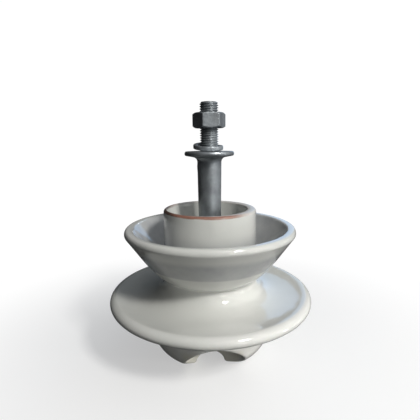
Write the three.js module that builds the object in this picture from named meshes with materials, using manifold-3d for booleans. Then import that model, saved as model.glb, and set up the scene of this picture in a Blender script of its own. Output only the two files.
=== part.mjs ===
// A porcelain pin insulator with its screw-in spindle, in millimetres, +Z up.
// It stands upside down on its crown, as it is stored, with the threaded stud of the spindle on top.
// The origin is on the axis, at the level of the crown's two horns. The conductor groove runs along Y.
import * as THREE from 'three';
import { mergeVertices } from 'three/addons/utils/BufferGeometryUtils.js';
import Module from 'manifold-3d';

const wasm = await Module();
wasm.setup();

// ---- driving dimensions -------------------------------------------------------------------------
const GAP = 0.3; // clearance that neighbouring pieces keep
const ROUND_STEPS = 48; // facets round the porcelain
const METAL_STEPS = 20; // facets round the metal pieces

const SHED_RADIUS = 114; // widest shed, at its lip
const SHED_LIP_Z = 69.3; // middle of its lip
const SHED_LIP_WIDTH = 7.2; // half the lip, radially
const SHED_LIP_HEIGHT = 6.2; // half the lip, along the axis
const DISH_Z = 71.3; // lowest level of the dish inside its lip
const NECK_RADIUS = 51.8; // between the two sheds
const NECK_Z = 92;
const CONE_RADIUS = 95.1; // conical shed, at its lip
const CONE_LIP_Z = 144.6;
const CONE_LIP_WIDTH = 3.6;
const CONE_LIP_BELOW = 3.3; // the lip's round, below and above its middle
const CONE_LIP_ABOVE = 4.8;
const CONE_LIP_JOIN = THREE.MathUtils.degToRad(-40); // where on that round the cone's outside meets it
const BODY_HEIGHT = 169.5; // horns to petticoat rim

const PETTICOAT_RADIUS = 51.6; // outside, at the rim
const PETTICOAT_BORE = 45.2; // inside, at the rim
const RIM_ROUND = 3.1;
const RIM_BORE_ROUND = 1.5;
const PETTICOAT_FOOT = 41.5; // inside radius where the petticoat's wall begins
const PETTICOAT_FOOT_Z = 125;

const CROWN_FLAT = 33; // radius of the flat ends of the horns
const CROWN_BULGE = 34.5; // how far the crown swells outside that flat
const CROWN_BULGE_Z = 30; // height of its widest level
const TIE_GROOVE_Z = 49.5; // side groove that takes the tie wire
const TIE_GROOVE_RADIUS = 10.5;
const TIE_GROOVE_EDGE = 66; // radius of the groove's two edges

const WIRE_GROOVE_RADIUS = 16.25; // conductor groove across the crown
const WIRE_GROOVE_DEPTH = 14.25;
const MOUTH_START = 34; // distance from the axis at which the groove begins to flare
const MOUTH_RADIUS = 36; // section of the flare where it leaves the crown
const MOUTH_STRETCH = 1.12; // the flare is this much wider than it is deep

const PIN_HOLE_RADIUS = 26;
const PIN_HOLE_BOTTOM = 38;
const PIN_HOLE_TOP = 105.5;

const CEMENT_WALL = 3.1;
const CEMENT_TOP = 101;
const THIMBLE_RADIUS = PIN_HOLE_RADIUS - GAP - CEMENT_WALL - GAP;
const THIMBLE_BOTTOM = PIN_HOLE_BOTTOM + GAP + 2 + GAP;
const THIMBLE_FLOOR = 2.7;
const THIMBLE_TOP = 103;
const LEAD_PITCH = 6.35; // coarse thread between thimble and lead head
const LEAD_TURNS = 7;
const LEAD_RADIUS = 17.4; // crest of the lead thread
const LEAD_THREAD_DEPTH = 1.8;
const CUSHION_HEIGHT = 4;

const STALK_FOOT_RADIUS = 12; // stalk where it leaves the lead head
const STALK_TOP_RADIUS = 13.2; // and under the collar
const STALK_TOP_Z = 220;
const GRIP_RADIUS = 11; // ribbed end that the lead is cast on
const GRIP_GROOVE = 1.3;
const COLLAR_RADIUS = 27.2;
const COLLAR_Z = 232; // bearing face of the collar
const COLLAR_EDGE = 4.7; // thickness of its edge
const STUD_TOP = 283.6;
const STUD_RADIUS = 10; // M20
const STUD_PITCH = 2.5;
const STUD_THREAD_DEPTH = 1.4;

const WASHER_INNER = 11.5;
const WASHER_OUTER = 16.3;
const WASHER_THICK = 4.6;
const WASHER_SHIFT = -1.1; // along X: it lies loose against one side of the stud
const WASHER_EDGE = 0.9; // bevel along the bar's four edges
const WASHER_STEPS = 40; // facets round its one turn
const WASHER_RISE = 3.2; // how far its two ends stand apart
const WASHER_TILT = 1.8; // how far it leans, up at the split and down opposite it
const WASHER_SPLIT = THREE.MathUtils.degToRad(85); // direction of the split
const WASHER_GAP = THREE.MathUtils.degToRad(8); // width of the split

const NUT_FLATS = 31.5; // across flats
const NUT_BOTTOM = 256.5;
const NUT_HEIGHT = 16;
const NUT_TURN = THREE.MathUtils.degToRad(3); // direction of one of its corners
const NUT_CHAMFER = THREE.MathUtils.degToRad(30);
const NUT_FACE_INSET = 0.5; // how far the round face ends inside the flats

// ---- shape helpers ------------------------------------------------------------------------------
// Lathes turn round Y, so each is stood up along Z.
function lathe(outline, steps) {
    const shape = new THREE.LatheGeometry(outline, steps);
    return closed(shape.rotateX(Math.PI / 2));
}

// One closed mesh with shared vertices and no triangles of zero area.
function closed(shape) {
    const bare = shape.clone();
    bare.deleteAttribute('normal');
    bare.deleteAttribute('uv');
    const merged = mergeVertices(bare, 1e-4);
    const corners = merged.index.array;
    const kept = [];
    for (let i = 0; i < corners.length; i += 3) {
        const [a, b, c] = [corners[i], corners[i + 1], corners[i + 2]];
        if (a !== b && b !== c && c !== a) kept.push(a, b, c);
    }
    merged.setIndex(kept);
    return merged;
}

function toSolid(shape) {
    const mesh = closed(shape);
    return new wasm.Manifold(new wasm.Mesh({
        numProp: 3,
        vertProperties: new Float32Array(mesh.attributes.position.array),
        triVerts: new Uint32Array(mesh.index.array),
    }));
}

function toGeometry(solid) {
    const mesh = solid.getMesh();
    const shape = new THREE.BufferGeometry();
    shape.setAttribute('position', new THREE.BufferAttribute(new Float32Array(mesh.vertProperties), 3));
    shape.setIndex(new THREE.BufferAttribute(new Uint32Array(mesh.triVerts), 1));
    return shape;
}

// Points of a ridged surface: `count` closed ridges, one pitch apart, from radius `low` to `high`.
function ridges(start, pitch, count, low, high) {
    const points = [];
    for (let i = 0; i < count; i += 1) {
        const z = start + i * pitch;
        points.push(new THREE.Vector2(low, z + 0.1 * pitch));
        points.push(new THREE.Vector2(high, z + 0.5 * pitch));
        points.push(new THREE.Vector2(high, z + 0.65 * pitch));
    }
    return points;
}

const at = (radius, z) => new THREE.Vector2(radius, z);

function addPiece(group, name, shape, look) {
    const mesh = new THREE.Mesh(shape, new THREE.MeshStandardMaterial(look));
    mesh.name = name;
    group.add(mesh);
}

// ---- porcelain body -----------------------------------------------------------------------------
function crownOutline(path) {
    path.moveTo(0, 0);
    path.lineTo(CROWN_FLAT, 0);
    path.absellipse(CROWN_FLAT, CROWN_BULGE_Z, CROWN_BULGE, CROWN_BULGE_Z, -Math.PI / 2, 0.12, false);
    path.lineTo(TIE_GROOVE_EDGE, TIE_GROOVE_Z - TIE_GROOVE_RADIUS);
    path.absarc(TIE_GROOVE_EDGE, TIE_GROOVE_Z, TIE_GROOVE_RADIUS, -Math.PI / 2, Math.PI / 2, true);
}

function wideShedOutline(path) {
    const lipRadius = SHED_RADIUS - SHED_LIP_WIDTH;
    path.quadraticCurveTo(88, 59, lipRadius, SHED_LIP_Z - SHED_LIP_HEIGHT);
    path.absellipse(lipRadius, SHED_LIP_Z, SHED_LIP_WIDTH, SHED_LIP_HEIGHT, -Math.PI / 2, Math.PI / 2, false);
    // dished upper side, and the cove that rises into the neck
    path.quadraticCurveTo(93, DISH_Z, 81, DISH_Z);
    path.bezierCurveTo(63, DISH_Z, NECK_RADIUS, 78.5, NECK_RADIUS, NECK_Z);
}

function coneShedOutline(path) {
    const lipRadius = CONE_RADIUS - CONE_LIP_WIDTH;
    // the cone runs into the lower part of its lip's round
    const join = CONE_LIP_JOIN;
    const joinRadius = lipRadius + CONE_LIP_WIDTH * Math.cos(join);
    path.bezierCurveTo(66, 98, 79, 121, joinRadius, CONE_LIP_Z + CONE_LIP_BELOW * Math.sin(join));
    path.absellipse(lipRadius, CONE_LIP_Z, CONE_LIP_WIDTH, CONE_LIP_BELOW, join, 0, false);
    path.absellipse(lipRadius, CONE_LIP_Z, CONE_LIP_WIDTH, CONE_LIP_ABOVE, 0, Math.PI / 2, false);
    path.lineTo(lipRadius - 4, CONE_LIP_Z + 4.7);
    path.quadraticCurveTo(85, 149, 84, 146);
    // inside of the cone, down to the trough beside the petticoat
    path.lineTo(63, 119);
    path.quadraticCurveTo(58.6, 113.6, 55.8, 114.2);
    path.quadraticCurveTo(52.7, 115, 52.4, 121);
}

function petticoatOutline(path) {
    const rimCentre = PETTICOAT_RADIUS - RIM_ROUND;
    path.lineTo(PETTICOAT_RADIUS, BODY_HEIGHT - RIM_ROUND);
    path.absarc(rimCentre, BODY_HEIGHT - RIM_ROUND, RIM_ROUND, 0, Math.PI / 2, false);
    path.lineTo(PETTICOAT_BORE + RIM_BORE_ROUND, BODY_HEIGHT);
    path.quadraticCurveTo(PETTICOAT_BORE, BODY_HEIGHT, PETTICOAT_BORE, BODY_HEIGHT - RIM_BORE_ROUND);
    path.lineTo(PETTICOAT_FOOT, PETTICOAT_FOOT_Z);
    path.quadraticCurveTo(PETTICOAT_FOOT - 1, PIN_HOLE_TOP, PIN_HOLE_RADIUS + 5, PIN_HOLE_TOP);
}

function pinHoleOutline(path) {
    path.lineTo(PIN_HOLE_RADIUS + 1.5, PIN_HOLE_TOP);
    path.lineTo(PIN_HOLE_RADIUS, PIN_HOLE_TOP - 1.5);
    path.lineTo(PIN_HOLE_RADIUS, PIN_HOLE_BOTTOM);
    path.lineTo(0, PIN_HOLE_BOTTOM);
}

// The conductor groove's mouth, turned round the groove's own axis: it leaves the groove's wall
// smoothly and swells to the side of the crown.
function mouthOutline() {
    const end = 2.4 * CROWN_FLAT;
    const path = new THREE.Path();
    path.moveTo(0, MOUTH_START);
    path.lineTo(WIRE_GROOVE_RADIUS - 1.5, MOUTH_START);
    path.bezierCurveTo(WIRE_GROOVE_RADIUS + 3, 37, MOUTH_RADIUS - 2, 39.5, MOUTH_RADIUS, 60);
    path.lineTo(MOUTH_RADIUS, end);
    path.lineTo(0, end);
    return path.getPoints(8);
}

function porcelainBody() {
    const path = new THREE.Path();
    crownOutline(path);
    wideShedOutline(path);
    coneShedOutline(path);
    petticoatOutline(path);
    pinHoleOutline(path);
    let body = toSolid(lathe(path.getPoints(4), ROUND_STEPS));

    const axisZ = WIRE_GROOVE_DEPTH - WIRE_GROOVE_RADIUS;
    const groove = new THREE.CylinderGeometry(WIRE_GROOVE_RADIUS, WIRE_GROOVE_RADIUS, 4 * CROWN_FLAT, 28);
    body = body.subtract(toSolid(groove.translate(0, 0, axisZ)));
    for (const side of [-1, 1]) {
        const flare = new THREE.LatheGeometry(mouthOutline(), 28);
        flare.scale(MOUTH_STRETCH, 1, 1);
        if (side < 0) flare.rotateZ(Math.PI);
        body = body.subtract(toSolid(flare.translate(0, 0, axisZ)));
    }
    return toGeometry(body);
}

// ---- fixing inside the pin hole -----------------------------------------------------------------
function thimbleCement() {
    const outer = PIN_HOLE_RADIUS - GAP;
    const inner = outer - CEMENT_WALL;
    return lathe([
        at(0, PIN_HOLE_BOTTOM + GAP),
        at(outer, PIN_HOLE_BOTTOM + GAP),
        at(outer, CEMENT_TOP),
        at(inner, CEMENT_TOP),
        at(inner, THIMBLE_BOTTOM - GAP),
        at(0, THIMBLE_BOTTOM - GAP),
    ], METAL_STEPS);
}

function zincThimble() {
    const crest = LEAD_RADIUS + GAP;
    const floor = THIMBLE_BOTTOM + THIMBLE_FLOOR;
    const threadStart = floor + CUSHION_HEIGHT + 2;
    const thread = ridges(threadStart, LEAD_PITCH, LEAD_TURNS, crest + LEAD_THREAD_DEPTH, crest);
    return lathe([
        at(0, THIMBLE_BOTTOM),
        at(THIMBLE_RADIUS - 2, THIMBLE_BOTTOM),
        at(THIMBLE_RADIUS, THIMBLE_BOTTOM + 2),
        at(THIMBLE_RADIUS, THIMBLE_TOP),
        at(crest + 1, THIMBLE_TOP),
        at(crest, THIMBLE_TOP - 1),
        ...thread.reverse(),
        at(crest + LEAD_THREAD_DEPTH, threadStart),
        at(crest, threadStart - 1),
        at(crest, floor),
        at(0, floor),
    ], METAL_STEPS);
}

const CUSHION_BOTTOM = THIMBLE_BOTTOM + THIMBLE_FLOOR + GAP;
const LEAD_BOTTOM = CUSHION_BOTTOM + CUSHION_HEIGHT + GAP;
const LEAD_TOP = LEAD_BOTTOM + (LEAD_TURNS + 1) * LEAD_PITCH;
const GRIP_BOTTOM = LEAD_BOTTOM + 2.5;
const GRIP_STEP = (LEAD_TOP - GRIP_BOTTOM) / 4;

function cushionDisc() {
    const radius = LEAD_RADIUS - GAP;
    return lathe([
        at(0, CUSHION_BOTTOM),
        at(radius - 0.8, CUSHION_BOTTOM),
        at(radius, CUSHION_BOTTOM + 0.8),
        at(radius, CUSHION_BOTTOM + CUSHION_HEIGHT - 0.8),
        at(radius - 0.8, CUSHION_BOTTOM + CUSHION_HEIGHT),
        at(0, CUSHION_BOTTOM + CUSHION_HEIGHT),
    ], METAL_STEPS);
}

// Ribbed end of the spindle; the lead's inside follows it `clearance` further out.
function gripOutline(clearance) {
    const points = [];
    for (let i = 0; i < 3; i += 1) {
        const z = GRIP_BOTTOM + (i + 0.6) * GRIP_STEP;
        const low = GRIP_RADIUS - GRIP_GROOVE + clearance;
        points.push(at(GRIP_RADIUS + clearance, z));
        points.push(at(low, z + 1.5));
        points.push(at(low, z + 5));
        points.push(at(GRIP_RADIUS + clearance, z + 6.5));
    }
    return points;
}

function leadHead() {
    const root = LEAD_RADIUS - LEAD_THREAD_DEPTH;
    return lathe([
        at(0, LEAD_BOTTOM),
        at(root, LEAD_BOTTOM),
        ...ridges(LEAD_BOTTOM + 2, LEAD_PITCH, LEAD_TURNS, root, LEAD_RADIUS),
        at(root, LEAD_TOP),
        at(GRIP_RADIUS + GAP, LEAD_TOP),
        ...gripOutline(GAP).reverse(),
        at(GRIP_RADIUS + GAP, GRIP_BOTTOM - GAP),
        at(0, GRIP_BOTTOM - GAP),
    ], METAL_STEPS);
}

// ---- spindle ------------------------------------------------------------------------------------
function spindle() {
    const root = STUD_RADIUS - STUD_THREAD_DEPTH;
    const threadStart = COLLAR_Z + 2;
    const turns = Math.floor((STUD_TOP - 1.4 - threadStart) / STUD_PITCH);
    const under = COLLAR_Z - COLLAR_EDGE;
    const fillet = new THREE.QuadraticBezierCurve(
        at(STALK_TOP_RADIUS, STALK_TOP_Z),
        at(STALK_TOP_RADIUS + 0.1, under - 2.3),
        at(STALK_TOP_RADIUS + 4.8, under - 1.5),
    );
    return lathe([
        at(0, GRIP_BOTTOM),
        at(GRIP_RADIUS - 1, GRIP_BOTTOM),
        at(GRIP_RADIUS, GRIP_BOTTOM + 1),
        ...gripOutline(0),
        at(GRIP_RADIUS, LEAD_TOP + 1),
        at(STALK_FOOT_RADIUS, LEAD_TOP + 4),
        ...fillet.getPoints(6),
        at(COLLAR_RADIUS - 1.8, under),
        at(COLLAR_RADIUS, under + 1.6),
        at(COLLAR_RADIUS, COLLAR_Z - 1.3),
        at(COLLAR_RADIUS - 1.2, COLLAR_Z),
        at(STUD_RADIUS - 0.2, COLLAR_Z),
        at(root, COLLAR_Z + 1),
        ...ridges(threadStart, STUD_PITCH, turns, root, STUD_RADIUS),
        at(root, threadStart + turns * STUD_PITCH + 0.3),
        at(root - 0.6, STUD_TOP),
        at(0, STUD_TOP),
    ], METAL_STEPS);
}

// ---- loose hardware -----------------------------------------------------------------------------
// One turn of a square bar with bevelled edges, swept along a left-hand helix that leans on the
// collar opposite the split, with flat ends.
function springWasher() {
    const halfWidth = (WASHER_OUTER - WASHER_INNER) / 2;
    const halfThick = WASHER_THICK / 2;
    const [flatWidth, flatThick] = [halfWidth - WASHER_EDGE, halfThick - WASHER_EDGE];
    const middle = (WASHER_OUTER + WASHER_INNER) / 2;
    const level = COLLAR_Z + GAP + halfThick + 0.3;
    const section = [
        [-halfWidth, -flatThick], [-flatWidth, -halfThick], [flatWidth, -halfThick], [halfWidth, -flatThick],
        [halfWidth, flatThick], [flatWidth, halfThick], [-flatWidth, halfThick], [-halfWidth, flatThick],
    ];
    const positions = [];
    for (let i = 0; i <= WASHER_STEPS; i += 1) {
        const along = i / WASHER_STEPS;
        const angle = WASHER_SPLIT - WASHER_GAP / 2 - along * (2 * Math.PI - WASHER_GAP);
        const lean = WASHER_TILT * Math.cos(2 * Math.PI * along);
        for (const [out, up] of section) {
            const radius = middle + out;
            const z = level + up + along * WASHER_RISE + lean;
            positions.push(WASHER_SHIFT + radius * Math.cos(angle), radius * Math.sin(angle), z);
        }
    }
    const corners = [];
    const around = section.length;
    for (let i = 0; i < WASHER_STEPS; i += 1) {
        for (let k = 0; k < around; k += 1) {
            const [a, b] = [i * around + k, i * around + (k + 1) % around];
            corners.push(a, b, b + around, a, b + around, a + around);
        }
    }
    const last = WASHER_STEPS * around;
    for (let k = 1; k < around - 1; k += 1) {
        corners.push(0, k + 1, k);
        corners.push(last, last + k, last + k + 1);
    }
    const shape = new THREE.BufferGeometry();
    shape.setAttribute('position', new THREE.Float32BufferAttribute(positions, 3));
    shape.setIndex(corners);
    return shape;
}

// A hexagonal prism cut by a bevelled round blank, with a plain bore that clears the stud's crests.
function hexNut() {
    const corner = NUT_FLATS / Math.sqrt(3);
    const prism = new THREE.CylinderGeometry(corner, corner, NUT_HEIGHT, 6);
    prism.rotateX(Math.PI / 2);
    prism.rotateZ(NUT_TURN + Math.PI / 2);
    const face = NUT_FLATS / 2 - NUT_FACE_INSET;
    const half = NUT_HEIGHT / 2;
    const bevel = (corner + 1 - face) * Math.tan(NUT_CHAMFER);
    const bore = STUD_RADIUS + GAP;
    const blank = lathe([
        at(bore + 1, -half - 0.01),
        at(face, -half - 0.01),
        at(corner + 1, -half + bevel),
        at(corner + 1, half - bevel),
        at(face, half + 0.01),
        at(bore + 1, half + 0.01),
        at(bore, half - 1),
        at(bore, 1 - half),
        at(bore + 1, -half - 0.01),
    ], 36);
    const nut = toGeometry(toSolid(prism).intersect(toSolid(blank)));
    return nut.translate(0, 0, NUT_BOTTOM + half);
}

// ---- assembly -----------------------------------------------------------------------------------
const GLAZE = { color: 0xc9cac2, roughness: 0.12, metalness: 0 };
const CEMENT = { color: 0x9a9890, roughness: 0.95, metalness: 0 };
const ZINC = { color: 0x9aa0a4, roughness: 0.45, metalness: 0.9 };
const FELT = { color: 0x6b5f4c, roughness: 1, metalness: 0 };
const LEAD = { color: 0x6f7276, roughness: 0.6, metalness: 0.8 };
const GALVANISED = { color: 0x6b7276, roughness: 0.55, metalness: 0.8 };
const GALVANISED_DARK = { color: 0x4f5356, roughness: 0.6, metalness: 0.8 };

const insulator = new THREE.Group();
addPiece(insulator, 'porcelain_body', porcelainBody(), GLAZE);
addPiece(insulator, 'thimble_cement', thimbleCement(), CEMENT);
addPiece(insulator, 'zinc_thimble', zincThimble(), ZINC);
addPiece(insulator, 'cushion_disc', cushionDisc(), FELT);
addPiece(insulator, 'lead_head', leadHead(), LEAD);
addPiece(insulator, 'spindle', spindle(), GALVANISED);
addPiece(insulator, 'spring_washer', springWasher(), GALVANISED);
addPiece(insulator, 'hex_nut', hexNut(), GALVANISED_DARK);

export default insulator;
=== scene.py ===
"""A porcelain pin insulator standing on its crown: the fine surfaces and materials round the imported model.

Outlines are (radius, height) points in millimetres, with +Z up and the conductor groove along Y.
"""

import math

import bpy
import numpy as np
from mathutils import Matrix, Vector


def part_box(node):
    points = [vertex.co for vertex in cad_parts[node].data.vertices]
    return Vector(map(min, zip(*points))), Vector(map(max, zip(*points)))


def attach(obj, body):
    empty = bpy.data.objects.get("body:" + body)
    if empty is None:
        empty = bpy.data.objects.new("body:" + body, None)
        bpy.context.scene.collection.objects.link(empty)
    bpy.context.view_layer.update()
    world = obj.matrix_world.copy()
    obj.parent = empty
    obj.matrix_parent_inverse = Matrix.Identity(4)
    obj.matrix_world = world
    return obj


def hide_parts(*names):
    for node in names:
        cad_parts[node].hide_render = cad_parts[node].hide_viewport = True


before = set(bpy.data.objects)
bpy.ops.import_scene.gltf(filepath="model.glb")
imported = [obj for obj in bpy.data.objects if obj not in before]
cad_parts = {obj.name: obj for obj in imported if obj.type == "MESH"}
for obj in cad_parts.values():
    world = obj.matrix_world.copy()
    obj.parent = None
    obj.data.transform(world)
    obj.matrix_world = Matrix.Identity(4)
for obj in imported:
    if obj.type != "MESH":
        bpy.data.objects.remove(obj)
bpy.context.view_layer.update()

MM = 0.001


def span(node):
    """Lowest and highest corners of a CAD node, in millimetres."""
    low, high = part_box(node)
    return low / MM, high / MM


# ---- dimensions ---------------------------------------------------------------------------------
BODY = span("porcelain_body")
SHED_RADIUS = BODY[1].x
BODY_HEIGHT = BODY[1].z
LIP_Z, LIP_WIDTH, LIP_HEIGHT = 69.3, 7.2, 6.2  # the wide shed's lip
NECK_RADIUS, NECK_Z = 51.8, 92.0
CONE_RADIUS, CONE_LIP_Z, CONE_LIP_WIDTH = 95.1, 144.6, 3.6
CONE_LIP_BELOW, CONE_LIP_ABOVE = 3.3, 4.8
CONE_LIP_JOIN = -40.0  # degrees: where on its lip's round the cone's outside meets it
PETTICOAT_RADIUS, PETTICOAT_BORE, RIM_ROUND = 51.6, 45.2, 3.1
PETTICOAT_FOOT, PETTICOAT_FOOT_Z = 41.5, 125.0
BORE_OFFSET = 3.4  # the fired bore sits this far towards -X at the rim
PIN_HOLE_RADIUS, PIN_HOLE_TOP, PIN_HOLE_BOTTOM = 26.0, 105.5, 38.0
CROWN_FLAT, CROWN_BULGE, CROWN_BULGE_Z = 33.0, 34.5, 30.0
TIE_GROOVE_Z, TIE_GROOVE_RADIUS, TIE_GROOVE_EDGE = 49.5, 10.5, 66.0
WIRE_GROOVE_RADIUS, WIRE_GROOVE_AXIS_Z = 16.25, -2.0
MOUTH_START, MOUTH_RADIUS, MOUTH_STRETCH = 34.0, 36.0, 1.02
GROOVE_OFFSET = -3.6  # the groove was pressed this far off centre; its flared mouths are centred
CROWN_SEAM_Z = 36.5  # above this level the body is a plain turned shape
CROWN_GRID = 1.0  # size of the crown's quads

SPINDLE = span("spindle")
LEAD = span("lead_head")
STUD_TOP, GRIP_BOTTOM = SPINDLE[1].z, SPINDLE[0].z
COLLAR_RADIUS = SPINDLE[1].x
COLLAR_Z, COLLAR_EDGE = 232.0, 4.7
STUD_RADIUS, STUD_DEPTH, STUD_PITCH = 10.0, 1.45, 2.5
STALK_FOOT_RADIUS, STALK_TOP_RADIUS, STALK_TOP_Z = 12.0, 13.2, 220.0
GRIP_RADIUS = 11.0
LEAD_RADIUS, LEAD_DEPTH, LEAD_PITCH = LEAD[1].x, 1.8, 6.35
LEAD_BOTTOM, LEAD_TOP = LEAD[0].z, LEAD[1].z

THIMBLE = span("zinc_thimble")
CEMENT = span("thimble_cement")
CUSHION = span("cushion_disc")
WASHER = span("spring_washer")
NUT = span("hex_nut")
WASHER_INNER, WASHER_THICK, WASHER_SHIFT = 11.5, 4.6, -1.1
WASHER_RISE, WASHER_TILT = 3.2, 1.8
WASHER_SPLIT, WASHER_GAP = 85.0, 8.0  # degrees
NUT_FLATS, NUT_TURN, NUT_CHAMFER = 31.5, 3.0, 30.0
GAP = 0.3  # between mating pieces

# Points round each turned piece.
BODY_SEGMENTS, SPINDLE_SEGMENTS, NUT_SEGMENTS, INNER_SEGMENTS = 216, 112, 240, 96


# ---- outlines -----------------------------------------------------------------------------------
def arc(centre, radii, start, end, steps=24):
    """Points on an ellipse, from one angle to another in degrees."""
    angles = np.radians(np.linspace(start, end, steps + 1))
    return np.column_stack([centre[0] + radii[0] * np.cos(angles), centre[1] + radii[1] * np.sin(angles)])


def curve(*controls, steps=24):
    """Points on the Bezier curve with these control points."""
    t = np.linspace(0, 1, steps + 1)[:, None]
    points = [np.repeat(np.array([c], float), steps + 1, axis=0) for c in controls]
    while len(points) > 1:
        points = [a * (1 - t) + b * t for a, b in zip(points, points[1:])]
    return points[0]


def spaced(parts, step):
    """The joined outline, cut into even steps."""
    points = np.vstack([np.atleast_2d(np.array(p, float)) for p in parts])
    gaps = np.linalg.norm(np.diff(points, axis=0), axis=1)
    keep = np.concatenate([[True], gaps > 1e-6])
    points = points[keep]
    along = np.concatenate([[0], np.cumsum(np.linalg.norm(np.diff(points, axis=0), axis=1))])
    count = max(2, int(round(along[-1] / step)) + 1)
    at = np.linspace(0, along[-1], count)
    return np.column_stack([np.interp(at, along, points[:, k]) for k in (0, 1)])


def softened(points, reach):
    """An evenly spaced outline with its corners rounded over `reach` points each way."""
    padded = np.vstack([np.repeat(points[:1], reach, 0), points, np.repeat(points[-1:], reach, 0)])
    weights = np.hanning(2 * reach + 3)[1:-1]
    weights /= weights.sum()
    out = np.column_stack([np.convolve(padded[:, k], weights, "valid") for k in (0, 1)])
    out[0], out[-1] = points[0], points[-1]
    return out


def thinned(points, turn, longest):
    """The outline with fewer points where it runs straight: one for each `turn` degrees or `longest` mm."""
    steps = np.diff(points, axis=0)
    headings = np.unwrap(np.arctan2(steps[:, 1], steps[:, 0]))
    keep = [0]
    for i in range(1, len(points) - 1):
        turned_by = abs(headings[i] - headings[keep[-1]])
        if turned_by > math.radians(turn) or np.linalg.norm(points[i] - points[keep[-1]]) > longest:
            keep.append(i)
    return points[keep + [len(points) - 1]]


def smoothstep(low, high, value):
    t = np.clip((value - low) / (high - low), 0, 1)
    return t * t * (3 - 2 * t)


# ---- meshes -------------------------------------------------------------------------------------
def make_piece(name, points, faces, material, body, node):
    """A smooth mesh piece from points in millimetres, which stands for a CAD node and rides on its body."""
    mesh = bpy.data.meshes.new(name)
    mesh.from_pydata((np.asarray(points) * MM).tolist(), [], [list(f) for f in faces])
    mesh.validate()
    mesh.polygons.foreach_set("use_smooth", [True] * len(mesh.polygons))
    mesh.materials.append(material)
    piece = bpy.data.objects.new(name, mesh)
    bpy.context.scene.collection.objects.link(piece)
    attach(piece, body)
    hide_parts(node)
    return piece


def turned(outline, segments, shape=None):
    """Points and faces of an outline turned round Z. `shape(points, rings)` may move the points.

    An outline point on the axis becomes one shared point. The outline runs so that the solid is on its left.
    """
    angles = np.arange(segments) * 2 * np.pi / segments
    points, starts, sizes, rings = [], [], [], []
    for i, (radius, z) in enumerate(outline):
        starts.append(len(points))
        if radius < 1e-6:
            points.append((0, 0, z))
            sizes.append(1)
        else:
            points.extend((radius * math.cos(a), radius * math.sin(a), z) for a in angles)
            sizes.append(segments)
        rings.extend([i] * sizes[-1])
    points = np.array(points, float)
    if shape is not None:
        points = shape(points, np.array(rings))
    faces = []
    for i in range(len(outline) - 1):
        a, b = starts[i], starts[i + 1]
        for k in range(segments):
            n = (k + 1) % segments
            if sizes[i] == 1 and sizes[i + 1] > 1:
                faces.append((a, b + n, b + k))
            elif sizes[i + 1] == 1 and sizes[i] > 1:
                faces.append((a + k, a + n, b))
            elif sizes[i] > 1:
                faces.append((a + k, a + n, b + n, b + k))
    return points, faces


def polar(points):
    return np.hypot(points[:, 0], points[:, 1]), np.arctan2(points[:, 1], points[:, 0])


def with_radius(points, radius):
    """The points moved out or in to these radii."""
    old, angle = polar(points)
    moved = points.copy()
    far = old > 1e-6
    moved[far, 0] = (radius * np.cos(angle))[far]
    moved[far, 1] = (radius * np.sin(angle))[far]
    return moved


def ripple(angle, z, seed, lumps=5):
    """A smooth unevenness between about -1 and 1, the same on every run."""
    rng = np.random.default_rng(seed)
    total = np.zeros_like(angle)
    for _ in range(lumps):
        around, phase_a, phase_z = rng.integers(1, 5), *rng.uniform(0, 2 * np.pi, 2)
        total += np.sin(around * angle + phase_a) * np.sin(z * rng.uniform(0.05, 0.45) + phase_z)
    return total / lumps


def thread_height(z, angle, pitch, crest=0.16, root=0.2):
    """0 at the root and 1 at the crest of a right-hand screw thread with rounded corners."""
    phase = np.abs(((z / pitch - angle / (2 * np.pi)) % 1.0) - 0.5) * 2
    return smoothstep(root, 1 - crest, phase)


# ---- porcelain ----------------------------------------------------------------------------------
def smooth_max(a, b, width):
    h = np.clip(0.5 + 0.5 * (a - b) / width, 0, 1)
    return a * h + b * (1 - h) + width * h * (1 - h)


def crown_field(p):
    """Below 0 inside the crown: a flat-ended swelling less the conductor groove and its two flared mouths."""
    x, y, z = p[..., 0], p[..., 1], p[..., 2]
    out = np.maximum(np.hypot(x, y) - CROWN_FLAT, 0) / CROWN_BULGE
    up = (z - CROWN_BULGE_Z) / CROWN_BULGE_Z
    near = np.hypot(out, up)
    scale = np.maximum(np.hypot(out / CROWN_BULGE, up / CROWN_BULGE_Z), 1e-6)
    swelling = near * (near - 1) / scale

    above = z - WIRE_GROOVE_AXIS_Z
    groove = np.hypot(x - GROOVE_OFFSET, above) - WIRE_GROOVE_RADIUS
    start = (MOUTH_START, WIRE_GROOVE_RADIUS - 1.5)
    mouth = curve(start, (37, WIRE_GROOVE_RADIUS + 3), (39.5, MOUTH_RADIUS - 2), (60, MOUTH_RADIUS), steps=60)
    reach = np.abs(y)
    opening = np.interp(reach, mouth[:, 0], mouth[:, 1])
    opening = np.where(reach < MOUTH_START, start[1] - 1.5 * (MOUTH_START - reach), opening)
    centre = GROOVE_OFFSET * (1 - smoothstep(MOUTH_START, 60, reach))
    flare = 0.75 * (np.hypot((x - centre) / MOUTH_STRETCH, above) - opening)
    channel = -smooth_max(-groove, -flare, 2.5)
    return smooth_max(swelling, -channel, 2.2)


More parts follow.
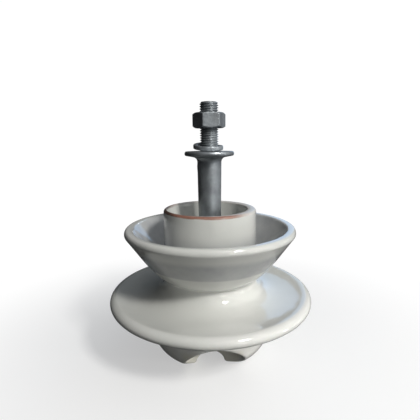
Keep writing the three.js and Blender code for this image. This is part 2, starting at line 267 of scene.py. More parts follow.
def crown_net():
    """The crown's surface as a net of small quads, open at the seam, with its points on the true surface."""
    edge = CROWN_FLAT + CROWN_BULGE + 1.5
    across = np.arange(-edge, edge, CROWN_GRID)
    upwards = CROWN_SEAM_Z - CROWN_GRID * np.arange(int((CROWN_SEAM_Z + 2) / CROWN_GRID), -1, -1)
    grid = np.stack(np.meshgrid(across, across, upwards, indexing="ij"), axis=-1)
    inside = crown_field(grid) < 0
    corners = [inside[i:inside.shape[0] - 1 + i, j:inside.shape[1] - 1 + j, k:inside.shape[2] - 1 + k]
               for i in (0, 1) for j in (0, 1) for k in (0, 1)]
    filled = sum(c.astype(int) for c in corners)
    crossed = (filled > 0) & (filled < 8)
    number = -np.ones(crossed.shape, int)
    number[crossed] = np.arange(crossed.sum())
    points = grid[:-1, :-1, :-1][crossed] + CROWN_GRID / 2

    faces = []
    for axis in range(3):
        one, two = [k for k in range(3) if k != axis]
        low = np.take(inside, range(inside.shape[axis] - 1), axis)
        high = np.take(inside, range(1, inside.shape[axis]), axis)
        i, j, k = np.nonzero(low != high)
        cell = np.column_stack([i, j, k])
        room = (cell[:, one] > 0) & (cell[:, two] > 0)
        room &= (cell[:, one] < number.shape[one]) & (cell[:, two] < number.shape[two])
        cell = cell[room]
        solid_low = low[tuple(cell.T)]
        step_one, step_two = np.eye(3, dtype=int)[one], np.eye(3, dtype=int)[two]
        loop = [cell, cell - step_one, cell - step_one - step_two, cell - step_two]
        quads = np.column_stack([number[tuple(c.T)] for c in loop])
        flip = solid_low if axis == 1 else ~solid_low
        quads[flip] = quads[flip][:, ::-1]
        faces.append(quads)
    faces = np.vstack(faces)

    nudge = 0.05
    for _ in range(6):
        value = crown_field(points)
        slope = np.column_stack([
            (crown_field(points + d) - crown_field(points - d)) / (2 * nudge) for d in np.eye(3) * nudge])
        step = (value / np.maximum((slope ** 2).sum(1), 0.05))[:, None] * slope
        points = points - np.clip(step, -CROWN_GRID, CROWN_GRID)
    return points, faces


def open_loop(faces, points):
    """The points on the net's open edge, in order of their angle round Z."""
    pairs = np.vstack([np.sort(faces[:, [a, (a + 1) % 4]], axis=1) for a in range(4)])
    pairs, counts = np.unique(pairs, axis=0, return_counts=True)
    loop = np.unique(pairs[counts == 1])
    return loop[np.argsort(np.arctan2(points[loop, 1], points[loop, 0]))]


def stitched(loop_a, angles_a, loop_b, angles_b):
    """Triangles that join two rings of points, both in order of their angle."""
    faces, i, j = [], 0, 0
    turn_a = np.append(angles_a, angles_a[0] + 2 * np.pi)
    turn_b = np.append(angles_b, angles_b[0] + 2 * np.pi)
    while i < len(loop_a) or j < len(loop_b):
        a, b = loop_a[i % len(loop_a)], loop_b[j % len(loop_b)]
        if j >= len(loop_b) or (i < len(loop_a) and turn_a[i + 1] <= turn_b[j + 1]):
            faces.append((a, loop_a[(i + 1) % len(loop_a)], b))
            i += 1
        else:
            faces.append((a, loop_b[(j + 1) % len(loop_b)], b))
            j += 1
    return faces


def porcelain_outline():
    """From the seam under the tie groove, over both sheds and the petticoat, to the floor of the pin hole."""
    seam_angle = math.degrees(math.asin(CROWN_SEAM_Z / CROWN_BULGE_Z - 1))
    seam = arc((CROWN_FLAT, CROWN_BULGE_Z), (CROWN_BULGE, CROWN_BULGE_Z), seam_angle, seam_angle + 4, 4)
    lip = SHED_RADIUS - LIP_WIDTH
    cone = CONE_RADIUS - CONE_LIP_WIDTH
    rim = PETTICOAT_RADIUS - RIM_ROUND
    dish_z = LIP_Z + 2
    lower_lip = arc((cone, CONE_LIP_Z), (CONE_LIP_WIDTH, CONE_LIP_BELOW), CONE_LIP_JOIN, 0)
    parts = [
        seam[:3],
        arc((TIE_GROOVE_EDGE, TIE_GROOVE_Z), (TIE_GROOVE_RADIUS,) * 2, 270, 90),
        curve((TIE_GROOVE_EDGE, TIE_GROOVE_Z + TIE_GROOVE_RADIUS), (88, 59), (lip, LIP_Z - LIP_HEIGHT)),
        arc((lip, LIP_Z), (LIP_WIDTH, LIP_HEIGHT), -90, 90),
        curve((lip, LIP_Z + LIP_HEIGHT), (93, dish_z), (81, dish_z)),
        curve((81, dish_z), (63, dish_z), (NECK_RADIUS, 78.5), (NECK_RADIUS, NECK_Z)),
        curve((NECK_RADIUS, NECK_Z), (66, 98), (79, 121), tuple(lower_lip[0])),
        lower_lip,
        arc((cone, CONE_LIP_Z), (CONE_LIP_WIDTH, CONE_LIP_ABOVE), 0, 90),
        curve((cone - 4, CONE_LIP_Z + 4.7), (85, 149), (84, 146)),
        (63, 119),
        curve((63, 119), (58.6, 113.6), (55.8, 114.2)),
        curve((55.8, 114.2), (52.7, 115), (52.4, 121)),
        arc((rim, BODY_HEIGHT - RIM_ROUND), (RIM_ROUND, RIM_ROUND), 0, 90),
        curve((PETTICOAT_BORE + 1.5, BODY_HEIGHT), (PETTICOAT_BORE, BODY_HEIGHT),
              (PETTICOAT_BORE, BODY_HEIGHT - 1.5)),
        (PETTICOAT_FOOT, PETTICOAT_FOOT_Z),
        curve((PETTICOAT_FOOT, PETTICOAT_FOOT_Z), (40.5, PIN_HOLE_TOP), (31, PIN_HOLE_TOP)),
        (PIN_HOLE_RADIUS + 1.5, PIN_HOLE_TOP),
        (PIN_HOLE_RADIUS, PIN_HOLE_TOP - 1.5),
        (PIN_HOLE_RADIUS, PIN_HOLE_BOTTOM),
        (0, PIN_HOLE_BOTTOM),
    ]
    return thinned(softened(spaced(parts, 0.6), 1), 7.0, 3.5)


def off_centre_bore(outline):
    """Moves the bore's rim sideways, as the kiln left it, and leaves the rest of the body round."""
    rim = PETTICOAT_RADIUS - RIM_ROUND
    top = int(np.argmax(outline[:, 1] > BODY_HEIGHT - 0.02))
    radius, z = outline[:, 0], outline[:, 1]
    share = np.where(np.arange(len(outline)) >= top, smoothstep(PETTICOAT_FOOT_Z, BODY_HEIGHT, z), 0)
    share = share * smoothstep(rim, PETTICOAT_BORE + 0.5, radius)

    def shape(points, rings):
        points = points.copy()
        points[:, 0] -= BORE_OFFSET * share[rings]
        return points
    return shape


def porcelain(material):
    """The whole body: the crown's net, stitched at the seam to everything above it, which is turned."""
    outline = porcelain_outline()
    upper, upper_faces = turned(outline, BODY_SEGMENTS, off_centre_bore(outline))
    crown, crown_faces = crown_net()
    loop = open_loop(crown_faces, crown)
    seam_radius = outline[0, 0]
    angles = np.arctan2(crown[loop, 1], crown[loop, 0])
    crown[loop] = np.column_stack([
        seam_radius * np.cos(angles), seam_radius * np.sin(angles), np.full(len(loop), CROWN_SEAM_Z - 0.4)])
    shift = len(crown)
    ring = np.arange(BODY_SEGMENTS)
    ring_angles = np.arctan2(upper[ring, 1], upper[ring, 0])
    order = np.argsort(ring_angles)
    seam_faces = stitched(loop, angles, ring[order] + shift, ring_angles[order])
    faces = crown_faces.tolist() + [[c + shift for c in f] for f in upper_faces] + seam_faces
    return make_piece("glazed_body", np.vstack([crown, upper]), faces, material,
                      "insulator", "porcelain_body")


# ---- fixing inside the pin hole -----------------------------------------------------------------
def cement_ring(material):
    low, high = CEMENT
    outer = high.x
    inner = THIMBLE[1].x + GAP
    outline = softened(spaced([
        (0, low.z), (outer, low.z), (outer, high.z), (inner, high.z),
        (inner, THIMBLE[0].z - GAP), (0, THIMBLE[0].z - GAP)], 0.8), 1)

    def rough_top(points, rings):
        radius, angle = polar(points)
        top = smoothstep(high.z - 2.5, high.z, points[:, 2])
        points = points.copy()
        points[:, 2] -= top * (0.5 + 0.35 * ripple(angle * 3, radius * 6, 4))
        return points

    points, faces = turned(outline, INNER_SEGMENTS, rough_top)
    return make_piece("cement_fill", points, faces, material, "insulator", "thimble_cement")


def thimble(material):
    low, high = THIMBLE
    crest = LEAD_RADIUS + GAP
    floor = low.z + 2.7
    thread_low, thread_high = CUSHION[1].z + 1.5, high.z - 2.5
    outline = softened(spaced([
        (0, low.z), (high.x - 2, low.z), (high.x, low.z + 2), (high.x, high.z), (crest + 1, high.z),
        (crest, high.z - 1), (crest, floor), (0, floor)], 0.5), 1)
    inside = (outline[:, 0] <= crest + 0.01) & (outline[:, 1] > floor + 0.6)

    def threaded(points, rings):
        radius, angle = polar(points)
        z = points[:, 2]
        depth = LEAD_DEPTH * (1 - thread_height(z, angle, LEAD_PITCH))
        depth *= smoothstep(thread_low, thread_low + 2, z) * (1 - smoothstep(thread_high - 2, thread_high, z))
        return with_radius(points, radius + depth * inside[rings])

    points, faces = turned(outline, INNER_SEGMENTS, threaded)
    return make_piece("thimble_lining", points, faces, material, "insulator", "zinc_thimble")


def cushion(material):
    low, high = CUSHION
    outline = softened(spaced([
        (0, low.z), (high.x, low.z + 0.1), (high.x, high.z - 0.1), (0, high.z)], 0.35), 3)

    def pressed(points, rings):
        radius, angle = polar(points)
        dent = 0.25 * ripple(angle, radius * 3, 11) + 0.25
        upper = smoothstep(low.z + 2, high.z, points[:, 2])
        points = points.copy()
        points[:, 2] -= dent * upper * smoothstep(2, 8, radius)
        return points

    points, faces = turned(outline, INNER_SEGMENTS, pressed)
    piece = make_piece("felt_cushion", points, faces, material, "insulator", "cushion_disc")
    return piece


def grip_outline(clearance):
    step = (LEAD_TOP - GRIP_BOTTOM) / 4
    points = []
    for i in range(3):
        z = GRIP_BOTTOM + (i + 0.6) * step
        wide, narrow = GRIP_RADIUS + clearance, GRIP_RADIUS - 1.3 + clearance
        points += [(wide, z), (narrow, z + 1.5), (narrow, z + 5), (wide, z + 6.5)]
    return points


def lead_casting(material):
    bore, root = GRIP_RADIUS + GAP, LEAD_RADIUS - LEAD_DEPTH
    outline = softened(spaced([
        (0, LEAD_BOTTOM), (root, LEAD_BOTTOM), (root, LEAD_TOP), (bore, LEAD_TOP),
        *grip_outline(GAP)[::-1], (bore, GRIP_BOTTOM - GAP), (0, GRIP_BOTTOM - GAP)], 0.5), 1)
    side = outline[:, 0] > root - 0.01

    def threaded(points, rings):
        radius, angle = polar(points)
        z = points[:, 2]
        height = thread_height(z, angle, LEAD_PITCH, crest=0.2, root=0.25)
        height *= smoothstep(LEAD_BOTTOM + 1, LEAD_BOTTOM + 4, z)
        height *= 1 - smoothstep(LEAD_TOP - 4, LEAD_TOP - 1, z)
        return with_radius(points, radius + LEAD_DEPTH * height * side[rings])

    points, faces = turned(outline, INNER_SEGMENTS, threaded)
    return make_piece("lead_casting", points, faces, material, "spindle", "lead_head")


# ---- spindle ------------------------------------------------------------------------------------
# Runs and beads of zinc left by dipping: azimuth in degrees, height, proudness, half width, half length.
ZINC_RUNS = [
    (-78, 213.5, 0.18, 1.6, 1.4), (-80, 207.5, 0.15, 1.2, 1.0), (-84, 203.0, 0.14, 6.0, 0.5),
    (-150, 190.0, 0.30, 2.0, 6.0), (40, 205.0, 0.35, 2.2, 7.0), (110, 180.0, 0.30, 1.8, 9.0),
    (-30, 160.0, 0.25, 2.0, 8.0), (170, 215.0, 0.40, 2.5, 4.0),
]


def spindle_shape(points, rings):
    radius, angle = polar(points)
    z = points[:, 2]
    on_stud = z > COLLAR_Z + 0.6
    thread = STUD_DEPTH * (1 - thread_height(z, angle, STUD_PITCH))
    thread *= smoothstep(COLLAR_Z + 1.2, COLLAR_Z + 3.6, z) * (1 - smoothstep(STUD_TOP - 0.9, STUD_TOP, z))
    side = on_stud & (radius > STUD_RADIUS - 1.9)
    radius = np.where(side, np.minimum(radius, STUD_RADIUS - thread), radius)

    collar = smoothstep(COLLAR_RADIUS - 5, COLLAR_RADIUS - 1, radius) * (np.abs(z - COLLAR_Z + 2) < 6)
    radius = radius - collar * (0.12 + 0.12 * ripple(angle, z * 0.2, 7))
    stalk = (z > LEAD_TOP + 6) & (z < COLLAR_Z - COLLAR_EDGE)
    radius = radius + 0.07 * stalk * ripple(angle * 2, z, 3)
    for azimuth, height, proud, half_width, half_length in ZINC_RUNS:
        off = (np.degrees(angle) - azimuth + 180) % 360 - 180
        across = np.radians(off) * radius / half_width
        along = (z - height) / half_length
        radius = radius + stalk * proud * np.exp(-across ** 2 - along ** 2)
    points = with_radius(points, radius)
    sag = smoothstep(COLLAR_RADIUS - 9, COLLAR_RADIUS, radius) * (z > 215) * (z < COLLAR_Z - 1)
    points[:, 2] -= 0.35 * sag * (0.5 + 0.5 * ripple(angle * 2, z * 0, 21))
    return points


def spindle(material):
    under = COLLAR_Z - COLLAR_EDGE
    stalk_top = (STALK_TOP_RADIUS, STALK_TOP_Z)
    lower = spaced([
        (0, GRIP_BOTTOM), (GRIP_RADIUS - 1, GRIP_BOTTOM), (GRIP_RADIUS, GRIP_BOTTOM + 1),
        *grip_outline(0), (GRIP_RADIUS, LEAD_TOP + 1), (STALK_FOOT_RADIUS, LEAD_TOP + 4), stalk_top], 0.8)
    upper = spaced([
        curve(stalk_top, (STALK_TOP_RADIUS + 0.1, under - 2.3), (STALK_TOP_RADIUS + 4.8, under - 1.5)),
        arc((COLLAR_RADIUS - 1.8, COLLAR_Z - COLLAR_EDGE / 2), (1.8, COLLAR_EDGE / 2), -90, 90),
        (STUD_RADIUS, COLLAR_Z), (STUD_RADIUS, STUD_TOP - 1.6), (STUD_RADIUS - 1.8, STUD_TOP),
        (0, STUD_TOP)], 0.33)
    outline = np.vstack([softened(lower, 1)[:-1], softened(upper, 2)])
    points, faces = turned(outline, SPINDLE_SEGMENTS, spindle_shape)
    return make_piece("galvanised_pin", points, faces, material, "spindle", "spindle")


# ---- loose hardware -----------------------------------------------------------------------------
def spring_washer(material):
    """One left-hand turn of a square bar with round edges, which leans on the collar."""
    steps, around = 160, 32
    outer = WASHER[1].y
    half_width, half_thick = (outer - WASHER_INNER) / 2, WASHER_THICK / 2
    middle = (outer + WASHER_INNER) / 2
    turn = np.arange(around) * 2 * np.pi / around
    squareness = 0.38
    section = np.column_stack([
        half_width * np.sign(np.cos(turn)) * np.abs(np.cos(turn)) ** squareness,
        half_thick * np.sign(np.sin(turn)) * np.abs(np.sin(turn)) ** squareness])
    along = np.linspace(0, 1, steps + 1)
    height = along * WASHER_RISE + WASHER_TILT * np.cos(2 * np.pi * along)
    height += WASHER[0].z + half_thick - height.min()
    points = []
    for share, z in zip(along, height):
        angle = math.radians(WASHER_SPLIT - WASHER_GAP / 2 - share * (360 - WASHER_GAP))
        swell = 1 - 0.05 * math.sin(7 * angle) ** 2
        for out, up in section:
            radius = middle + out * swell
            points.append((WASHER_SHIFT + radius * math.cos(angle), radius * math.sin(angle), z + up))
    faces = []
    for i in range(steps):
        for k in range(around):
            a, b = i * around + k, i * around + (k + 1) % around
            faces.append((a, b, b + around, a + around))
    faces.append(list(range(around))[::-1])
    faces.append(list(range(steps * around, (steps + 1) * around)))
    return make_piece("split_washer", points, faces, material, "washer", "spring_washer")


def nut(material):
    """A hexagon with rounded corners, bevelled at both ends, with a threaded bore that clears the stud."""
    low, high = NUT
    middle, half = (low.z + high.z) / 2, (high.z - low.z) / 2
    flat = NUT_FLATS / 2
    bore = STUD_RADIUS + GAP
    face = flat - 0.5
    corner = flat / math.cos(math.pi / 6)
    sharpness = 70
    outline = softened(spaced([
        (corner, 0), (corner, half), (bore + 1.3, half), (bore, half - 1.2), (bore, 1.2 - half),
        (bore + 1.3, -half), (corner, -half), (corner, 0)], 0.4), 1)
    outline[0] = outline[-1] = (corner, 0)
    in_bore = outline[:, 0] < bore + 0.2

    def hexagon(points, rings):
        radius, angle = polar(points)
        z = points[:, 2]
        towards = [np.maximum(np.cos(angle - math.radians(NUT_TURN + 30 + 60 * k)), 0) for k in range(6)]
        side = flat / sum(t ** sharpness for t in towards) ** (1 / sharpness)
        bevel = face + (half - np.abs(z)) / math.tan(math.radians(NUT_CHAMFER))
        limit = -smooth_max(-side, -bevel, 0.9)
        outer = radius > bore + 2
        share = np.where(outer, (radius - bore - 2) / (corner - bore - 2), 0)
        radius = np.where(outer, bore + 2 + share * (np.maximum(limit, bore + 3) - bore - 2), radius)
        cut = 0.9 * (1 - thread_height(z, angle, STUD_PITCH))
        cut = cut * (1 - smoothstep(half - 1.4, half - 0.4, np.abs(z)))
        radius = np.where(in_bore[rings], radius + cut, radius)
        dents = 0.12 * outer * (ripple(angle * 2, z * 1.2, 5) - 1)
        moved = with_radius(points, radius + dents)
        moved[:, 2] += middle
        return moved

    points, faces = turned(outline, NUT_SEGMENTS, hexagon)
    last = (len(outline) - 1) * NUT_SEGMENTS  # the last ring is the first one again
    faces = [[c - last if c >= last else c for c in f] for f in faces]
    return make_piece("hexagon_nut", points[:last], faces, material, "nut", "hex_nut")


# ---- materials ----------------------------------------------------------------------------------
class Shader:
    """A small helper that adds nodes to a material and links them by name."""

    def __init__(self, name):
        self.material = bpy.data.materials.new(name)
        self.material.use_nodes = True
        self.tree = self.material.node_tree
        self.surface = self.tree.nodes["Principled BSDF"]
        self.place = self.node("ShaderNodeTexCoord").outputs["Object"]

    def node(self, kind, settings=None, **inputs):
        made = self.tree.nodes.new(kind)
        for key, value in (settings or {}).items():
            setattr(made, key, value)
        for key, value in inputs.items():
            self.feed(made.inputs[int(key[1:]) if key[0] == "i" and key[1:].isdigit() else key], value)
        return made

    def feed(self, socket, value):
        if isinstance(value, bpy.types.NodeSocket):
            self.tree.links.new(value, socket)
        else:
            socket.default_value = value

    def set(self, **inputs):
        for key, value in inputs.items():
            self.feed(self.surface.inputs[key.replace("_", " ")], value)

    def math(self, operation, a, b=0.0):
        return self.node("ShaderNodeMath", {"operation": operation}, i0=a, i1=b).outputs[0]

    def ramp(self, value, low, high, to_low=0.0, to_high=1.0):
        """A smooth step from to_low to to_high as the value goes from low to high."""
        settings = {"interpolation_type": "SMOOTHSTEP"}
        made = self.node("ShaderNodeMapRange", settings, i0=value, i1=low, i2=high, i3=to_low, i4=to_high)
        return made.outputs[0]

    def noise(self, scale, detail=3.0, roughness=0.5, stretch=None):
        place = self.place
        if stretch:
            settings = {"operation": "MULTIPLY"}
            place = self.node("ShaderNodeVectorMath", settings, i0=place, i1=stretch).outputs[0]
        made = self.node("ShaderNodeTexNoise", None, Vector=place, Scale=scale,
                         Detail=detail, Roughness=roughness)
        return made.outputs["Fac"]

    def spots(self, scale):
        return self.node("ShaderNodeTexVoronoi", None, Vector=self.place, Scale=scale).outputs

    def mix(self, share, a, b):
        made = self.node("ShaderNodeMix", {"data_type": "RGBA"})
        self.feed(made.inputs[0], share)
        self.feed(made.inputs[6], a)
        self.feed(made.inputs[7], b)
        return made.outputs[2]

    def bump(self, *layers):
        """Bumps stacked on each other, each a height from 0 to 1 and its size in metres."""
        normal = None
        for height, size in layers:
            made = self.node("ShaderNodeBump", None, Height=height, Strength=1.0, Distance=size)
            if normal is not None:
                self.feed(made.inputs["Normal"], normal)
            normal = made.outputs["Normal"]
        self.feed(self.surface.inputs["Normal"], normal)


def grey(value, tint=(1.0, 1.0, 1.0)):
    return (value * tint[0], value * tint[1], value * tint[2], 1.0)


GLAZE_THIN, GLAZE_THICK = grey(0.60, (1.0, 1.01, 0.955)), grey(0.655, (1.0, 0.995, 0.955))
# The second colour on the next line is painted shade: a darker, slightly bluish grey laid in the cone's bowl,
# where the petticoat shades it.
GLAZE_IN_GROOVE, BOWL_PAINTED_SHADE = grey(0.60, (1.0, 0.97, 0.84)), grey(0.36, (0.98, 1.0, 1.03))
CLAY_DARK, CLAY_PALE = grey(0.47, (1.0, 0.96, 0.9)), grey(0.60, (1.0, 0.97, 0.93))
IRON_SPECK = (0.16, 0.11, 0.07, 1)
# The third colour, near black, is painted shade for the rim's brown line on the -X side, away from the key
# light.
RUST_DARK, RUST_PALE, RIM_PAINTED_SHADE = (0.19, 0.085, 0.06, 1), (0.34, 0.17, 0.12, 1), (0.05, 0.032, 0.022, 1)


def glaze_material():
    """Pale grey glaze with fine specks, a bare clay rim and the red-brown line where the glaze ends, with
    painted shade in the cone's bowl and on the rim's -X side.
    """
    s = Shader("glazed_porcelain")
    split = s.node("ShaderNodeSeparateXYZ", None, Vector=s.place)
    x, y, z = (split.outputs[k] for k in range(3))
    radius = s.math("SQRT", s.math("ADD", s.math("MULTIPLY", x, x), s.math("MULTIPLY", y, y)))

    glaze = s.mix(s.ramp(s.noise(9, 4), 0.35, 0.7), GLAZE_THIN, GLAZE_THICK)
    speck = s.ramp(s.spots(420)["Distance"], 0.06, 0.12, 1.0, 0.0)
    rare = s.ramp(s.noise(160, 1), 0.62, 0.68)
    glaze = s.mix(s.math("MULTIPLY", s.math("MULTIPLY", speck, rare), 0.55), glaze, IRON_SPECK)

    # Painted shade: the glaze inside the cone's bowl is mixed towards a darker bluish grey, broken up by
    # noise.
    painted_shade_in_bowl = s.math("MULTIPLY", s.ramp(radius, 90 * MM, 84 * MM), s.ramp(z, 110 * MM, 113 * MM))
    painted_shade_in_bowl = s.math("MULTIPLY", painted_shade_in_bowl, s.ramp(radius, 51.9 * MM, 52.3 * MM))
    shade_patchiness = s.ramp(s.noise(24, 4, 0.6), 0.25, 0.7, 0.55, 1.0)
    glaze = s.mix(s.math("MULTIPLY", painted_shade_in_bowl, shade_patchiness), glaze, BOWL_PAINTED_SHADE)

    sideways = s.math("ABSOLUTE", s.math("SUBTRACT", x, GROOVE_OFFSET * MM))
    in_groove = s.math("MULTIPLY", s.ramp(sideways, 35 * MM, 27 * MM), s.ramp(z, 34 * MM, 26 * MM))
    glaze = s.mix(s.math("MULTIPLY", in_groove, 0.8), glaze, GLAZE_IN_GROOVE)

    wobble = s.math("MULTIPLY", s.math("SUBTRACT", s.noise(70, 3), 0.5), 1.6 * MM)
    level = s.math("ADD", z, wobble)
    top = BODY_HEIGHT * MM
    rim = PETTICOAT_RADIUS * MM
    outer_edge = s.ramp(radius, rim - 4.2 * MM, rim - 2.6 * MM)
    on_rim = s.ramp(level, top - 3.0 * MM, top - 1.9 * MM)
    bare = s.math("MULTIPLY", on_rim, s.ramp(radius, 40 * MM, 41 * MM))
    towards = s.math("ADD", s.math("MULTIPLY", x, -0.76), s.math("MULTIPLY", y, -0.65))
    strength = s.ramp(s.math("ADD", towards, s.math("MULTIPLY", wobble, 10.0)), -0.014, 0.024, 0.0, 1.0)
    brown = s.math("MULTIPLY", s.math("MULTIPLY", bare, outer_edge), strength)
    rust_and_painted_shade = s.mix(s.noise(220, 4), RUST_DARK, RUST_PALE)
    # Painted shade: the rim's brown line turns near black towards -X, the side away from the key light.
    rust_and_painted_shade = s.mix(s.ramp(x, -46 * MM, -36 * MM, 0.85, 0.0), rust_and_painted_shade, RIM_PAINTED_SHADE)
    clay = s.mix(s.noise(300, 4), CLAY_DARK, CLAY_PALE)
    colour = s.mix(s.math("MULTIPLY", bare, 0.85), glaze, clay)
    s.set(Base_Color=s.mix(brown, colour, rust_and_painted_shade))

    smear = s.ramp(s.noise(38, 3), 0.3, 0.75, 0.045, 0.11)
    s.set(Roughness=s.math("ADD", smear, s.math("MULTIPLY", bare, 0.42)))
    s.set(IOR=1.52, Coat_Weight=0.25, Coat_Roughness=0.03, Specular_IOR_Level=0.5)
    gritty = s.math("MULTIPLY", s.noise(900, 3), bare)
    s.bump((s.noise(42, 1), 0.00036), (s.noise(150, 2), 0.00005), (gritty, 0.0002))
    return s.material


def zinc_material(name, low, high, rough):
    """Dull hot-dip zinc: faint spangle, darker stains and a slightly lumpy coat."""
    s = Shader(name)
    spangle = s.spots(150)["Color"]
    patch = s.node("ShaderNodeSeparateColor", None, Color=spangle).outputs[0]
    tint = (0.93, 1.0, 1.05)
    colour = s.mix(s.ramp(s.noise(70, 5, 0.6), 0.3, 0.72), grey(low, tint), grey(high, tint))
    colour = s.mix(s.math("MULTIPLY", patch, 0.22), colour, grey(high * 1.25, tint))
    stain = s.ramp(s.noise(26, 4, 0.6, (1.0, 1.0, 0.35)), 0.52, 0.72, 0.0, 0.45)
    colour = s.mix(stain, colour, grey(low * 0.6, (1.0, 0.98, 0.94)))
    s.set(Base_Color=colour)
    s.set(Roughness=s.ramp(s.noise(120, 4), 0.25, 0.75, rough - 0.1, rough + 0.1))
    s.set(Metallic=s.ramp(s.noise(55, 3), 0.3, 0.7, 0.72, 0.9))
    s.bump((s.noise(260, 4), 0.00018), (s.noise(1100, 2), 0.00005))
    return s.material


def cement_material():
    s = Shader("portland_cement")
    grain = s.spots(700)["Distance"]
    colour = s.mix(s.ramp(s.noise(120, 6, 0.65), 0.3, 0.7), (0.30, 0.29, 0.27, 1), (0.46, 0.45, 0.42, 1))
    colour = s.mix(s.ramp(grain, 0.1, 0.3, 0.5, 0.0), colour, (0.62, 0.60, 0.56, 1))
    s.set(Base_Color=colour, Roughness=s.ramp(s.noise(300, 3), 0.3, 0.7, 0.82, 0.97))
    s.bump((s.noise(420, 6, 0.7), 0.0005), (grain, 0.0002))
    return s.material


def cast_metal_material(name, low, high, rough, tint):
    """Cast zinc or lead: cloudy colour and a fine pitted skin."""
    s = Shader(name)
    cloud = s.ramp(s.noise(60, 5, 0.6), 0.3, 0.7)
    pits = s.ramp(s.spots(520)["Distance"], 0.05, 0.22)
    colour = s.mix(cloud, grey(low, tint), grey(high, tint))
    s.set(Base_Color=s.mix(pits, grey(low * 0.5, tint), colour))
    s.set(Roughness=s.ramp(s.noise(200, 4), 0.3, 0.7, rough - 0.1, rough + 0.1), Metallic=0.8)
    s.bump((pits, 0.0002), (s.noise(700, 3), 0.00012))
    return s.material


def felt_material():
    s = Shader("pressed_felt")
    fibres = s.noise(1800, 6, 0.7, (1.0, 0.35, 1.0))
    tufts = s.noise(420, 5, 0.65)
    colour = s.mix(s.ramp(fibres, 0.3, 0.7), (0.07, 0.055, 0.04, 1), (0.20, 0.165, 0.125, 1))
    s.set(Base_Color=s.mix(s.ramp(tufts, 0.45, 0.75, 0.0, 0.4), colour, (0.30, 0.26, 0.21, 1)))
    s.set(Roughness=s.ramp(tufts, 0.2, 0.8, 0.9, 1.0), Sheen_Weight=0.4, Sheen_Roughness=0.6)
    s.bump((tufts, 0.0006), (fibres, 0.0003))
    return s.material


# ---- stage --------------------------------------------------------------------------------------
FLOOR_RADIUS = 6.0
BACKGROUND = 1.02
ROOM_BRIGHTEST = (0.80, -0.28, 0.53)  # the direction the room is brightest in
ROOM_LEVELS = [(0.0, 0.02), (0.42, 0.05), (0.62, 0.18), (0.85, 0.45), (1.0, 0.6)]
ROOM_TINT = (0.97, 1.0, 1.03)
MIDDLE, CONE, CROWN = (0, 0, 0.12), (0, 0, 0.13), (0, 0, 0.02)  # what the lights are aimed at
# Name, azimuth, height and distance, size, watts, colour, aim, and spread in degrees.
LIGHTS = [
    ("key", -57.0, 40.0, 1.6, (0.26, 0.26), 19.0, (1.0, 0.985, 0.955), MIDDLE, 180.0),
    ("sky_window", 66.0, 20.0, 1.5, (0.55, 0.95), 1.8, (0.40, 0.65, 1.0), MIDDLE, 180.0),
    ("front_fill", -38.0, 16.0, 1.8, (1.4, 1.0), 3.3, (1.0, 0.99, 0.97), MIDDLE, 180.0),
    ("low_right", -16.0, 1.0, 1.2, (0.5, 0.05), 0.12, (1.0, 0.98, 0.94), CROWN, 8.0),
    ("low_front", -96.0, 1.0, 1.2, (0.5, 0.05), 0.009, (1.0, 0.97, 0.91), CROWN, 8.0),
    ("cone_fill", -66.0, 2.0, 1.2, (0.5, 0.05), 0.020, (1.0, 0.98, 0.94), CONE, 12.0),
]
CAMERA_PLACE = (-0.0331, -0.3781, 0.2413)
CAMERA_TURN, CAMERA_DOWN, CAMERA_ROLL = -5.0, 11.1, -0.5  # degrees
CAMERA_SENSOR, CAMERA_LENS, CAMERA_SHIFT = 36.0, 29.48, 0.0005


def direction(azimuth, height):
    a, h = math.radians(azimuth), math.radians(height)
    return Vector((math.cos(a) * math.cos(h), math.sin(a) * math.cos(h), math.sin(h)))


def floor():
    """A pale disc that fades into the background away from the object."""
    points, faces = turned(np.array([(r, 0.0) for r in (0, 200, 500, 1000, 3000, FLOOR_RADIUS / MM)]), 96)
    mesh = bpy.data.meshes.new("floor")
    mesh.from_pydata((points * MM).tolist(), [], [list(f)[::-1] for f in faces])
    s = Shader("pale_floor")
    split = s.node("ShaderNodeSeparateXYZ", None, Vector=s.place)
    x, y = split.outputs[0], split.outputs[1]
    away = s.math("SQRT", s.math("ADD", s.math("MULTIPLY", x, x), s.math("MULTIPLY", y, y)))
    s.set(Base_Color=grey(0.9), Roughness=0.9, Specular_IOR_Level=0.1)
    glow = s.node("ShaderNodeEmission", None, Color=grey(1.0), Strength=BACKGROUND)
    blend = s.node("ShaderNodeMixShader", None, i0=s.ramp(away, 0.12, 0.42, 0.45, 1.0))
    s.feed(blend.inputs[1], s.surface.outputs[0])
    s.feed(blend.inputs[2], glow.outputs[0])
    s.feed(s.tree.nodes["Material Output"].inputs["Surface"], blend.outputs[0])
    mesh.materials.append(s.material)
    disc = bpy.data.objects.new("floor", mesh)
    bpy.context.scene.collection.objects.link(disc)
    disc.visible_glossy = False
    disc.visible_diffuse = False


def soft_light(name, azimuth, height, distance, size, watts, colour, aim, spread):
    data = bpy.data.lights.new(name, "AREA")
    data.shape = "RECTANGLE"
    data.size, data.size_y = size
    data.energy = watts
    data.color = colour
    data.spread = math.radians(spread)
    light = bpy.data.objects.new(name, data)
    bpy.context.scene.collection.objects.link(light)
    light.location = Vector(aim) + direction(azimuth, height) * distance
    light.rotation_euler = (Vector(aim) - light.location).to_track_quat("-Z", "Y").to_euler()
    light.visible_camera = False


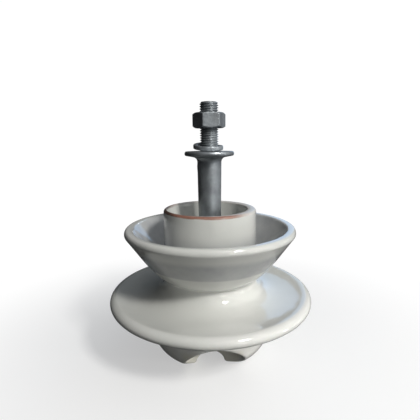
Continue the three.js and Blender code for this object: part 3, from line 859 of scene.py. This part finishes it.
def surroundings():
    """White behind the object, and a soft room round it that is brighter on the key light's side."""
    world = bpy.data.worlds.new("studio")
    bpy.context.scene.world = world
    world.use_nodes = True
    tree = world.node_tree
    add = tree.nodes.new
    room, backdrop = tree.nodes["Background"], add("ShaderNodeBackground")
    place, dot, ramp = add("ShaderNodeTexCoord"), add("ShaderNodeVectorMath"), add("ShaderNodeValToRGB")
    span_node = add("ShaderNodeMapRange")
    path, chooser = add("ShaderNodeLightPath"), add("ShaderNodeMixShader")
    dot.operation = "DOT_PRODUCT"
    dot.inputs[1].default_value = ROOM_BRIGHTEST
    span_node.inputs[1].default_value = -1.0
    tree.links.new(place.outputs["Generated"], dot.inputs[0])
    tree.links.new(dot.outputs["Value"], span_node.inputs[0])
    tree.links.new(span_node.outputs[0], ramp.inputs[0])
    for i, (at, level) in enumerate(ROOM_LEVELS):
        stop = ramp.color_ramp.elements[i] if i < 2 else ramp.color_ramp.elements.new(at)
        stop.position = at
        stop.color = grey(level, ROOM_TINT)
    tree.links.new(ramp.outputs[0], room.inputs[0])
    room.inputs[1].default_value = 1.0
    backdrop.inputs[0].default_value = grey(1.0)
    backdrop.inputs[1].default_value = BACKGROUND
    tree.links.new(path.outputs["Is Camera Ray"], chooser.inputs[0])
    tree.links.new(room.outputs[0], chooser.inputs[1])
    tree.links.new(backdrop.outputs[0], chooser.inputs[2])
    tree.links.new(chooser.outputs[0], tree.nodes["World Output"].inputs["Surface"])


def camera():
    data = bpy.data.cameras.new("camera")
    data.sensor_width = CAMERA_SENSOR
    data.lens = CAMERA_LENS
    data.shift_x = CAMERA_SHIFT
    data.clip_end = 50.0
    shooter = bpy.data.objects.new("camera", data)
    bpy.context.scene.collection.objects.link(shooter)
    turn = Matrix.Rotation(math.radians(CAMERA_TURN), 4, "Z")
    tilt = Matrix.Rotation(math.radians(90.0 - CAMERA_DOWN), 4, "X")
    roll = Matrix.Rotation(math.radians(CAMERA_ROLL), 4, "Z")
    shooter.matrix_world = Matrix.Translation(CAMERA_PLACE) @ turn @ tilt @ roll
    bpy.context.scene.camera = shooter


# ---- everything ---------------------------------------------------------------------------------
camera()
porcelain(glaze_material())
cement_ring(cement_material())
thimble(cast_metal_material("cast_zinc", 0.34, 0.46, 0.42, (0.96, 1.0, 1.04)))
cushion(felt_material())
lead_casting(cast_metal_material("cast_lead", 0.13, 0.22, 0.55, (0.98, 1.0, 1.03)))
spindle(zinc_material("galvanised_spindle", 0.26, 0.40, 0.45))
spring_washer(zinc_material("galvanised_washer", 0.28, 0.42, 0.45))
nut(zinc_material("galvanised_nut", 0.20, 0.33, 0.48))
floor()
surroundings()
for light in LIGHTS:
    soft_light(*light)
bpy.context.scene.view_settings.view_transform = "Standard"
